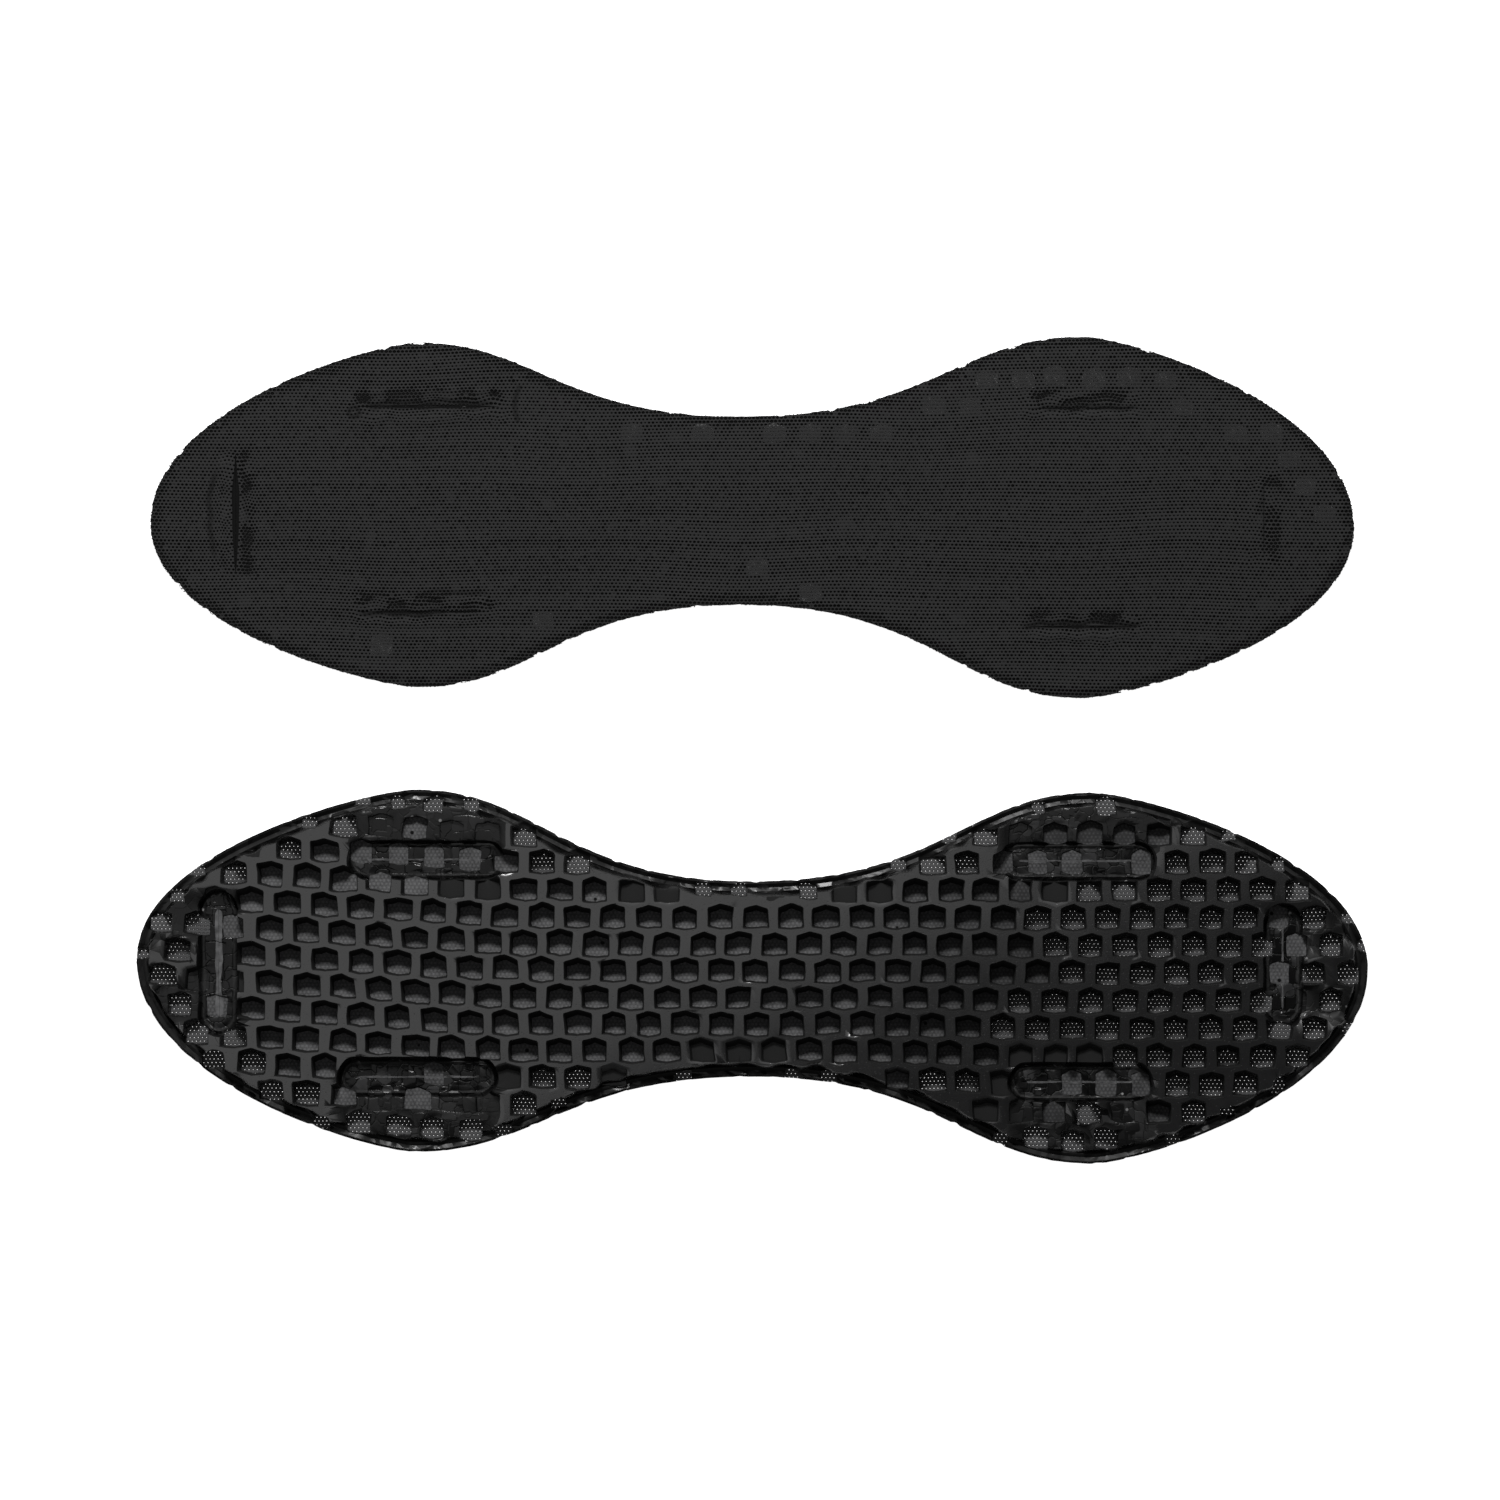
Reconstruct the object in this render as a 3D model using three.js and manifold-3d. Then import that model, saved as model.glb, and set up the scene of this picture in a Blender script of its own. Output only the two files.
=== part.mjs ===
// A pair of honeycomb gel cushion pads for the sole of a shoe, lying flat side by side.
// Each pad is an hourglass sheet of knitted mesh with a soft gel honeycomb moulded onto it.
// The gel is full height in the middle of the pad, and is pressed thin along the rim and
// round six slits that are cut right through both layers, so that the pad can bend and stretch.
// Pad A lies with its knitted cover up, and pad B with its honeycomb up.
//
// Millimetres, +X along the pads, +Z up. The origin is under the middle of the pair, on the
// surface that the pads lie on.

import * as THREE from "three";
import { mergeVertices } from "three/addons/utils/BufferGeometryUtils.js";
import Module from "manifold-3d";

const wasm = await Module();
wasm.setup();

// ---------------------------------------------------------------- driving dimensions

// Layers.
const COVER_THICKNESS = 0.8;
const BOND_LINE = 0.3; // clearance that stands for the layer where gel has sunk into the knit
const GEL_HEIGHT = 4.2; // full height of the honeycomb walls
const PRESSED_THICKNESS = 1.0; // gel left where it is pressed flat

// Honeycomb: flattened hexagons, points towards +Y and -Y, in staggered rows along X.
const CELL_PITCH = 8.13; // from cell to cell along a row
const ROW_PITCH = 6.06; // from row to row
const WALL_THICKNESS = 2.1; // the straight walls between cells of one row
const WEB_THICKNESS = 1.4; // the sloping webs between rows
const WEB_SLOPE = 17; // degrees

// Pressed gel.
const RIM_WIDTH = 3.0; // the pressed band along the outline
const EDGE_WIDTH = 2.2; // least gel between a cell and the outline
const FIELD_SIDE = 4.1; // the pressed field reaches this far to each side of a slit
const FIELD_END = 2.6; // and this far past each end of it

const SLIT_WIDTH = 0.6; // across the middle of a slit, which closes to a point at its ends

const PAIR_SPACING = 104.3; // between the centre lines of the two pads

// Shape of the outline between its tips, lobes and waist, as shares of each stretch.
const FULLNESS = { tip: 0.65, lobeOuter: 0.16, lobeInner: 0.36, waist: 0.56 };

// Straight steps in each of the outline's eight curves, along a slit and in a half circle.
const CURVE_STEPS = 12;
const SLIT_STEPS = 6;
const END_STEPS = 6;

// The pads. x is along the pad from its middle, and top and bottom are the distances from
// its centre line to the +Y and -Y edges. A slit lies in from the edge or tip beside it by
// inset, and its middle is shifted along it from the lobe's or the tip's own middle.
const PAD_A = {
  length: 273.4,
  tipLeft: { y: -1.4, slit: { inset: 19.5, shift: 2.1, length: 27.3 } },
  lobeLeft: {
    x: -75.6,
    top: 39.6,
    bottom: 38.8,
    slitTop: { inset: 14.6, shift: 2.3, length: 31.9 },
    slitBottom: { inset: 17.2, shift: 1.2, length: 29.6 },
  },
  waist: { x: -2.6, top: 22.8, bottom: 20.1 },
  lobeRight: {
    x: 74.8,
    top: 41.0,
    bottom: 41.3,
    slitTop: { inset: 16.4, shift: -0.7, length: 24.0 },
    slitBottom: { inset: 16.3, shift: 0.2, length: 23.4 },
  },
  tipRight: { y: -2.5, slit: { inset: 20.6, shift: 2.1, length: 18.2 } },
};
const PAD_B = {
  length: 280.2,
  tipLeft: { y: 3.9, slit: { inset: 19.0, shift: -0.9, length: 27.1 } },
  lobeLeft: {
    x: -76.4,
    top: 42.4,
    bottom: 40.1,
    slitTop: { inset: 16.2, shift: 2.4, length: 30.0 },
    slitBottom: { inset: 16.9, shift: 0.4, length: 30.4 },
  },
  waist: { x: -0.2, top: 21.5, bottom: 23.0 },
  lobeRight: {
    x: 77.3,
    top: 41.7,
    bottom: 42.8,
    slitTop: { inset: 15.8, shift: -3.3, length: 29.6 },
    slitBottom: { inset: 18.4, shift: -2.7, length: 27.0 },
  },
  tipRight: { y: 1.6, slit: { inset: 19.2, shift: 0.9, length: 22.0 } },
};

// Materials.
const KNIT = new THREE.MeshStandardMaterial({ color: 0x2b2b2c, roughness: 0.9, metalness: 0 });
const GEL = new THREE.MeshStandardMaterial({ color: 0x1d1d1e, roughness: 0.45, metalness: 0 });

// ---------------------------------------------------------------- solids

// A mesh geometry as a solid that can be joined and cut.
function solidOf(geometry) {
  const bare = new THREE.BufferGeometry();
  bare.setAttribute("position", geometry.getAttribute("position"));
  const merged = mergeVertices(bare);
  return new wasm.Manifold(
    new wasm.Mesh({
      numProp: 3,
      vertProperties: merged.attributes.position.array,
      triVerts: new Uint32Array(merged.index.array),
    }),
  );
}

// A solid as a mesh geometry.
function geometryOf(solid) {
  const mesh = solid.getMesh();
  const geometry = new THREE.BufferGeometry();
  geometry.setAttribute("position", new THREE.BufferAttribute(mesh.vertProperties, mesh.numProp));
  geometry.setIndex(new THREE.BufferAttribute(mesh.triVerts, 1));
  return geometry;
}

// A flat plate with a closed outline, from z = bottom to z = top.
function plate(outline, bottom, top) {
  const geometry = new THREE.ExtrudeGeometry(new THREE.Shape(outline), {
    depth: top - bottom,
    bevelEnabled: false,
  });
  geometry.translate(0, 0, bottom);
  return solidOf(geometry);
}

// ---------------------------------------------------------------- outlines

// The closed curve round a pad, moved in from its edge by inset.
function padOutline(pad, inset) {
  const reach = pad.length / 2 - inset;
  const shape = new THREE.Shape();

  // One long edge from tip to tip. end is 1 where it runs towards +X and -1 towards -X,
  // and height gives how far the edge stands from the centre line at a lobe or the waist.
  function edge(tipFrom, from, to, tipTo, end, height) {
    const waist = pad.waist;
    const curve = (x1, y1, x2, y2, x, y) => shape.bezierCurveTo(x1, y1, x2, y2, x, y);
    const mix = THREE.MathUtils.lerp;
    const startY = mix(tipFrom.y, height(from), FULLNESS.tip);
    const finishY = mix(tipTo.y, height(to), FULLNESS.tip);
    const outerFrom = mix(from.x, -end * reach, FULLNESS.lobeOuter);
    const outerTo = mix(to.x, end * reach, FULLNESS.lobeOuter);
    const innerFrom = mix(from.x, waist.x, FULLNESS.lobeInner);
    const innerTo = mix(to.x, waist.x, FULLNESS.lobeInner);
    const waistFrom = mix(waist.x, from.x, FULLNESS.waist);
    const waistTo = mix(waist.x, to.x, FULLNESS.waist);
    curve(-end * reach, startY, outerFrom, height(from), from.x, height(from));
    curve(innerFrom, height(from), waistFrom, height(waist), waist.x, height(waist));
    curve(waistTo, height(waist), innerTo, height(to), to.x, height(to));
    curve(outerTo, height(to), end * reach, finishY, end * reach, tipTo.y);
  }

  const { tipLeft, lobeLeft, lobeRight, tipRight } = pad;
  shape.moveTo(-reach, tipLeft.y);
  edge(tipLeft, lobeLeft, lobeRight, tipRight, 1, (station) => station.top - inset);
  edge(tipRight, lobeRight, lobeLeft, tipLeft, -1, (station) => inset - station.bottom);
  return shape.getPoints(CURVE_STEPS);
}

// The six slits of a pad, each with its middle, its length and whether it runs across.
function slitsOf(pad) {
  const beside = (lobe) => [
    {
      x: lobe.x + lobe.slitTop.shift,
      y: lobe.top - lobe.slitTop.inset,
      length: lobe.slitTop.length,
      across: false,
    },
    {
      x: lobe.x + lobe.slitBottom.shift,
      y: lobe.slitBottom.inset - lobe.bottom,
      length: lobe.slitBottom.length,
      across: false,
    },
  ];
  const behind = (tip, end) => ({
    x: end * (pad.length / 2 - tip.slit.inset),
    y: tip.y + tip.slit.shift,
    length: tip.slit.length,
    across: true,
  });
  return [
    ...beside(pad.lobeLeft),
    ...beside(pad.lobeRight),
    behind(pad.tipLeft, -1),
    behind(pad.tipRight, 1),
  ];
}

// A point in a slit's own frame, u along it and v to its side, as a point of the pad.
function onSlit(slit, u, v) {
  return slit.across
    ? new THREE.Vector2(slit.x - v, slit.y + u)
    : new THREE.Vector2(slit.x + u, slit.y + v);
}

// The cut itself: a lens with pointed ends.
function slitOutline(slit) {
  const points = [];
  for (const side of [1, -1]) {
    for (let i = 0; i < SLIT_STEPS; i++) {
      const share = (2 * i) / SLIT_STEPS - 1; // from -1 at one end to 1 at the other
      const u = (side * share * slit.length) / 2;
      const v = (-side * SLIT_WIDTH * (1 - share ** 2)) / 2;
      points.push(onSlit(slit, u, v));
    }
  }
  return points;
}

// The pressed field round a slit: a racetrack.
function fieldOutline(slit) {
  const straight = slit.length / 2 + FIELD_END - FIELD_SIDE;
  const points = [];
  for (const side of [1, -1]) {
    for (let i = 0; i <= END_STEPS; i++) {
      const angle = Math.PI * (i / END_STEPS - 0.5);
      const u = side * (straight + FIELD_SIDE * Math.cos(angle));
      const v = side * FIELD_SIDE * Math.sin(angle);
      points.push(onSlit(slit, u, v));
    }
  }
  return points;
}

// Whether a point lies inside a closed outline.
function contains(outline, point) {
  let inside = false;
  outline.forEach((a, i) => {
    const b = outline[(i + 1) % outline.length];
    if (a.y > point.y === b.y > point.y) return;
    const crossing = a.x + ((point.y - a.y) * (b.x - a.x)) / (b.y - a.y);
    if (point.x < crossing) inside = !inside;
  });
  return inside;
}

// How far a point lies from the nearest stretch of a closed outline.
function distanceTo(outline, point) {
  const distances = outline.map((a, i) => {
    const along = outline[(i + 1) % outline.length].clone().sub(a);
    const away = point.clone().sub(a);
    const share = THREE.MathUtils.clamp(away.dot(along) / (along.lengthSq() || 1), 0, 1);
    return away.distanceTo(along.multiplyScalar(share));
  });
  return Math.min(...distances);
}

// ---------------------------------------------------------------- honeycomb

// The corners of one cell's opening round its own middle.
function cellCorners() {
  const slope = Math.tan(THREE.MathUtils.degToRad(WEB_SLOPE));
  const halfWidth = (CELL_PITCH - WALL_THICKNESS) / 2;
  const halfWeb = (WEB_THICKNESS / 2) * Math.hypot(1, slope);
  const peak = ROW_PITCH / 2 + (CELL_PITCH / 4) * slope - halfWeb;
  const shoulder = peak - halfWidth * slope;
  return [
    [0, -peak],
    [halfWidth, -shoulder],
    [halfWidth, shoulder],
    [0, peak],
    [-halfWidth, shoulder],
    [-halfWidth, -shoulder],
  ];
}

// The openings of the cells: all whole ones that keep clear of the outline and whose
// middles aren't in a pressed field.
function cellsOf(outline, fields) {
  const { max } = new THREE.Box2().setFromPoints(outline);
  const columns = Math.ceil(max.x / CELL_PITCH) + 1;
  const rows = Math.ceil(max.y / ROW_PITCH) + 1;
  const cells = [];
  for (let row = -rows; row <= rows; row++) {
    const stagger = row % 2 === 0 ? 0 : CELL_PITCH / 2;
    for (let column = -columns; column <= columns; column++) {
      const middle = new THREE.Vector2(column * CELL_PITCH + stagger, row * ROW_PITCH);
      const cell = cellCorners().map(([x, y]) => new THREE.Vector2(x, y).add(middle));
      const fits = cell.every((p) => contains(outline, p) && distanceTo(outline, p) > EDGE_WIDTH);
      if (fits && !fields.some((field) => contains(field, middle))) cells.push(cell);
    }
  }
  return cells;
}

// ---------------------------------------------------------------- pieces

// A solid with a hole of each outline cut right through it.
function pierced(solid, outlines, height) {
  return outlines.reduce((left, outline) => left.subtract(plate(outline, -1, height + 1)), solid);
}

// The knitted mesh cover: a flat sheet with the slits through it.
function coverSolid(pad) {
  const sheet = plate(padOutline(pad, 0), 0, COVER_THICKNESS);
  return pierced(sheet, slitsOf(pad).map(slitOutline), COVER_THICKNESS);
}

// The gel moulding: a thin pressed sheet with the full-height honeycomb standing on it.
// z = 0 is its bonded face.
function gelSolid(pad) {
  const outline = padOutline(pad, 0);
  const slits = slitsOf(pad);
  const fields = slits.map(fieldOutline);
  const raised = fields.reduce(
    (left, field) => left.subtract(plate(field, PRESSED_THICKNESS / 2, GEL_HEIGHT + 1)),
    plate(padOutline(pad, RIM_WIDTH), 0, GEL_HEIGHT),
  );
  const gel = raised.add(plate(outline, 0, PRESSED_THICKNESS));
  return pierced(gel, [...cellsOf(outline, fields), ...slits.map(slitOutline)], GEL_HEIGHT);
}

// One named piece of the assembly, with its lowest face at z = bottom.
function piece(name, solid, material, bottom) {
  const mesh = new THREE.Mesh(geometryOf(solid), material);
  mesh.name = name;
  mesh.position.z = bottom;
  return mesh;
}

// ---------------------------------------------------------------- the pair

// How far a pad reaches from its centre line on one side.
function reachOf(pad, side) {
  return Math.max(pad.lobeLeft[side], pad.lobeRight[side]);
}

const pairWidth = reachOf(PAD_A, "top") + PAIR_SPACING + reachOf(PAD_B, "bottom");

// Pad A: honeycomb down on the surface, cover on top.
const gelDown = gelSolid(PAD_A).mirror([0, 0, 1]).translate([0, 0, GEL_HEIGHT]);
const padA = new THREE.Group();
padA.position.y = pairWidth / 2 - reachOf(PAD_A, "top");
padA.add(
  piece("pad_a_gel_honeycomb", gelDown, GEL, 0),
  piece("pad_a_knit_cover", coverSolid(PAD_A), KNIT, GEL_HEIGHT + BOND_LINE),
);

// Pad B: cover down on the surface, honeycomb up.
const padB = new THREE.Group();
padB.position.y = reachOf(PAD_B, "bottom") - pairWidth / 2;
padB.add(
  piece("pad_b_knit_cover", coverSolid(PAD_B), KNIT, 0),
  piece("pad_b_gel_honeycomb", gelSolid(PAD_B), GEL, COVER_THICKNESS + BOND_LINE),
);

const pair = new THREE.Group();
pair.add(padA, padB);

export default pair;
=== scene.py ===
"""Looks of a pair of honeycomb gel cushion pads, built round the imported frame.

Pad A lies with its knitted cover up, and pad B with its honeycomb up. Each cover is a net of
knitted mesh with real holes. Each gel layer is a honeycomb moulded onto its cover, full height
in the middle and pressed thin along the rim and in a field round each of six slits.

Lengths are in millimetres. A pad's own coordinates are x along it, y across it and z up, from
the middle of its cover's box on the surface that the pair lies on.
"""

import math

import bpy
import numpy as np
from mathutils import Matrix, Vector


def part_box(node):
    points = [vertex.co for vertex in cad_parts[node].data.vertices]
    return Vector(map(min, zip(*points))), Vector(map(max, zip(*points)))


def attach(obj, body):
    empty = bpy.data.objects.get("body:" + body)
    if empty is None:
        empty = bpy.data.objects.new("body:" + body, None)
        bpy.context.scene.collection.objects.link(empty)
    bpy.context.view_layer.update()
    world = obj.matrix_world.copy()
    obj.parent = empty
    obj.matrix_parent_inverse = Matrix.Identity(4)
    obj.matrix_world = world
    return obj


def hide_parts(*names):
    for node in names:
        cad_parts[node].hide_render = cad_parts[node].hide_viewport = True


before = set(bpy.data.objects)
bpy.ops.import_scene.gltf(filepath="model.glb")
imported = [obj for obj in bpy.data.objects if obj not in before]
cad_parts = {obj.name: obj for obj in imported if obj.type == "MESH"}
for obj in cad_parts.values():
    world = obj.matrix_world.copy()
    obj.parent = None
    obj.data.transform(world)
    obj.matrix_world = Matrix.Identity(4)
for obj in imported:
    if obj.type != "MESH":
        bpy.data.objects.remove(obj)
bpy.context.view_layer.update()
MM = 0.001

# ---------------------------------------------------------------- sizes

# Layers, from the surface up, of a pad that lies with its honeycomb up.
NET_B_HEIGHT = 0.55
GEL_B_BASE = 0.85
# Layers of a pad that lies with its cover up.
NET_A_HEIGHT = 5.0
GEL_A_BASE = 4.4  # its bonded side, which is up
FILM = 0.2  # gel over the knit at the bottom of a sealed cell
PRESSED = 0.75  # gel left where it is pressed flat
NET_EDGE = 0.4  # thickness of the cover that shows along its cut edge
COVER_EDGE = 2.6  # width of the turned down edge of a cover, which gets no painted crease shade

# Honeycomb: flattened hexagons in staggered rows along x.
CELL_PITCH = 8.06
ROW_PITCH = 6.06
WEB_RISE = 1.24  # of the sloping webs, over half a pitch
OPENING = {"half_width": 2.9, "half_side": 2.22, "peak": 0.85, "dip": 0.32}
OUTER_AT = (0, 1 / 3, 2 / 3)  # where points lie along each side of a cell's boundary
OPENING_AT = (0.07, 0.5, 0.93)  # and along each side of its opening, which leaves its corners off
PHASE = (0.87, 1.28)  # the place of one cell's middle
BEVEL = 0.14
# How far the walls of a deep cell lean in at their foot.
FLARE = {"top": 1.15, "bottom": 0.12, "left": 0.45, "right": 0.2}

# Where pad B changes along its length, from its middle.
WAIST_END = 38
OPEN_FROM = 61  # cells further right are open
RIGHT_TIP, LEFT_TIP = 100, -116
# What closes a cell at its bonded side: nothing, a film, a shallow fill or a full one.
OPEN, FILMED, BLOCKED, FLUSH = range(4)
FLOOR_SHARE = np.array([0, 0, 0.5, 1.0])  # height of its floor over the film, as a share

# Pressed gel.
RIM_WIDTH = 2.9
FIELD_SIDE = 4.1
FIELD_END = 2.6
# Profiles of pressed gel: (distance in from the outline or out from a field's edge, height).
RIM_PROFILE = ((0.0, 0.45), (0.6, 0.9), (1.5, 0.55), (2.3, 0.9), (2.8, 0.45))
FIELD_PROFILE = ((-2.0, 0.55), (-1.2, 0.45), (-0.6, 1.0), (0.0, 0.35))
RIM_LINES = (0.6, 1.5, 2.3)
FIELD_LINES = (-1.2, -0.6)
# The cliffs between full and pressed gel: from foot to head, past the rim and past a field.
RIM_CLIFF = (RIM_WIDTH - 0.4, RIM_WIDTH + 0.5)
FIELD_CLIFF = (0.0, 0.6)
CLIFF_SHARES = (0.0, 0.35, 0.65, 1.0)
LEVEL = 0.94  # upward part of the normal of a face that counts as level
FLAT_FROM = 0.3  # gel pressed more than this is glossy
# Half the width of the pale strip along each slit.
PALE_STRIP = {"pad_a": {}, "pad_b": {
    "left_tip": 0.85, "left_top": 0.2, "left_bottom": 0.2,
    "right_tip": 0.2, "right_top": 0.22, "right_bottom": 0.2,
}}
STRIP_REACH = 13.5  # a field and the outline this near together have soft, half pressed gel between

# Knit: holes in staggered rows along x.
HOLE = {"half_width": 0.25, "half_height": 0.235}
KNIT_A = {"pitch": 0.904, "rows": 0.774}
KNIT_B = {"pitch": 0.93, "rows": 0.82}

# The gap that each slit stands open by, in the cover and in the gel.
COVER_GAP = {
    "pad_a": {
        "left_tip": 1.6, "left_top": 0.75, "left_bottom": 0.5,
        "right_tip": 0.12, "right_top": 0.3, "right_bottom": 0.6,
    },
    "pad_b": {},
}
CLOSED_GAP = 0.02  # of a cover's slit that isn't listed
GEL_GAP = {"pad_a": 0.1, "pad_b": 0.05}
LEAN = {"pad_a": 0.8, "pad_b": 0.35}  # sideways, of the cut through the gel for each PRESSED of depth
# Ridges and creases of pad A's cover beside each slit: (start, end) along it, place across it,
# how far the middle bows away, half the width, and the height.
FOLDS = {
    "left_tip": [
        ((-12, 12), 2.4, 0.4, 1.3, 0.26), ((-10, 9), 4.6, 1.2, 0.6, -0.42),
        ((-12, 9), -1.3, -0.5, 0.7, -0.2),
    ],
    "left_top": [
        ((-14, 14), 0.0, 0.3, 0.7, -0.45), ((-15, 15), 3.2, 0.3, 0.8, 0.2),
        ((-12, 10), -2.4, -0.5, 1.2, 0.2),
    ],
    "left_bottom": [
        ((-15, 4), -0.6, 0.0, 0.55, -0.45), ((-8, 10), -2.5, -0.3, 0.9, 0.16),
        ((-2, 14), 3.6, 0.4, 0.6, -0.25),
    ],
    "right_tip": [((-7, 7), 0.0, 0.0, 0.5, -0.15)],
    "right_top": [((-8, 13), -0.2, 0.0, 0.5, -0.4), ((-8, 8), -2.2, 0.0, 0.9, 0.15)],
    "right_bottom": [((-13, 13), 0.0, 0.3, 0.6, -0.5), ((-10, 10), -2.2, 0.0, 0.9, 0.18)],
}
CURL = {"along": 17.0, "across": -1.6, "radius": 1.1}  # of pad A's left top slit, past its end
SIDE_CREASE = {"along": 19.5}
CUT = 0.04  # narrowest gap of a cut
ZONE = 3.0  # faces this near to a slit are cut by it

OUTLINE_STEP = 1.0
GRID_STEP = 1.0
NICK_STEP = (5.0, 11.0)  # between the nicks in a cut edge
NICK = {"pad_a": (0.75, 0.9), "pad_b": (0.45, 1.1)}  # how deep and how wide
GEL_A_INSET = 0.08  # of pad A's gel from its outline
MERGE = 1e-3
WAVES = 7
SEED = 11


# ---------------------------------------------------------------- numbers

def smooth(low, high, x):
    """0 below low, 1 above high, and a smooth step between."""
    t = np.clip((x - low) / (high - low), 0, 1)
    return t * t * (3 - 2 * t)


def ripples(x, y, size, seed):
    """Smooth noise, mostly between -1 and 1, with features of about this size."""
    draw = np.random.default_rng(seed)
    total = 0.0
    for _ in range(WAVES):
        turn, phase = draw.uniform(0, 2 * math.pi, 2)
        rate = 2 * math.pi / (size * draw.uniform(0.7, 1.5))
        total = total + np.sin((x * math.cos(turn) + y * math.sin(turn)) * rate + phase)
    return total / math.sqrt(WAVES) * 0.9


def merged(points, triangles, tags):
    """The mesh with equal points joined, and with empty faces and folded pairs of faces dropped."""
    _, first, index = np.unique(
        np.round(points[:, :3] / MERGE).astype(np.int64), axis=0, return_index=True, return_inverse=True
    )
    triangles = index.reshape(-1)[triangles]
    whole = (triangles != np.roll(triangles, 1, axis=1)).all(axis=1)
    triangles, tags = triangles[whole], tags[whole]
    _, index, count = np.unique(
        np.sort(triangles, axis=1), axis=0, return_inverse=True, return_counts=True
    )
    single = count[index.reshape(-1)] == 1
    return points[first], triangles[single], tags[single]


def clip(points, triangles, tags, keep):
    """The part of a mesh where keep, one number a point, is above zero, cut where it is zero."""
    inside = keep > 0
    count = inside[triangles].sum(axis=1)
    cut = (count == 1) | (count == 2)
    corners, label, lone = triangles[cut], tags[cut], count[cut] == 1
    first = (inside[corners] == lone[:, None]).argmax(axis=1)
    corners = np.take_along_axis(corners, (first[:, None] + np.arange(3)) % 3, axis=1)
    a, b, c = corners.T
    ends = np.sort(np.concatenate([np.stack([a, b], 1), np.stack([a, c], 1)]), axis=1)
    edges, where = np.unique(ends, axis=0, return_inverse=True)
    share = (keep[edges[:, 0]] / (keep[edges[:, 0]] - keep[edges[:, 1]]))[:, None]
    made = points[edges[:, 0]] * (1 - share) + points[edges[:, 1]] * share
    ab, ac = len(points) + where.reshape(2, -1)
    two = ~lone
    faces = [
        triangles[count == 3],
        np.stack([a, ab, ac], 1)[lone],
        np.stack([ab, b, c], 1)[two],
        np.stack([ab, c, ac], 1)[two],
    ]
    labels = [tags[count == 3], label[lone], label[two], label[two]]
    return np.concatenate([points, made]), np.concatenate(faces), np.concatenate(labels)


def open_edges(triangles):
    """The directed edges that only one face has."""
    edges = np.concatenate([triangles[:, [0, 1]], triangles[:, [1, 2]], triangles[:, [2, 0]]])
    size = int(triangles.max()) + 1
    forward, back = edges[:, 0] * size + edges[:, 1], edges[:, 1] * size + edges[:, 0]
    return edges[~np.isin(forward, back)]


def skirt(points, edges, low):
    """Faces that hang from these edges down to height low, and their new points."""
    used, index = np.unique(edges, return_inverse=True)
    a, b = edges.T
    c, d = len(points) + index.reshape(-1, 2).T
    hung = points[used].copy()
    hung[:, 2] = low if np.isscalar(low) else low[used]
    return hung, np.concatenate([np.stack([a, c, d], 1), np.stack([a, d, b], 1)])


# ---------------------------------------------------------------- pads

def top_loops(node):
    """The closed loops round the top face of a CAD plate, in millimetres."""
    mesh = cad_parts[node].data
    points = np.array([v.co for v in mesh.vertices]) / MM
    mesh.calc_loop_triangles()
    triangles = np.array([t.vertices for t in mesh.loop_triangles])
    top = (points[triangles][:, :, 2] > points[:, 2].max() - MERGE * 10).all(axis=1)
    corners, index = np.unique(np.round(points / MERGE), axis=0, return_inverse=True)
    edges = open_edges(index.reshape(-1)[triangles[top]])
    after = {int(a): int(b) for a, b in edges}
    loops = []
    while after:
        walk = [next(iter(after))]
        while walk[-1] in after:
            walk.append(after.pop(walk[-1]))
        loops.append(corners[walk[:-1], :2] * MERGE)
    return sorted(loops, key=lambda loop: -np.ptp(loop[:, 0]) * np.ptp(loop[:, 1]))


def resampled(loop, step):
    """A smooth closed curve through the loop's corners, with points about step apart."""
    before, after, later = np.roll(loop, 1, 0), np.roll(loop, -1, 0), np.roll(loop, -2, 0)
    curve = []
    for p0, p1, p2, p3 in zip(before, loop, after, later):
        count = max(1, round(np.linalg.norm(p2 - p1) / step))
        t = (np.arange(count) / count)[:, None]
        curve.append(
            0.5 * (2 * p1 + (p2 - p0) * t + (2 * p0 - 5 * p1 + 4 * p2 - p3) * t**2
                   + (3 * p1 - p0 - 3 * p2 + p3) * t**3)
        )
    return np.concatenate(curve)


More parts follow.
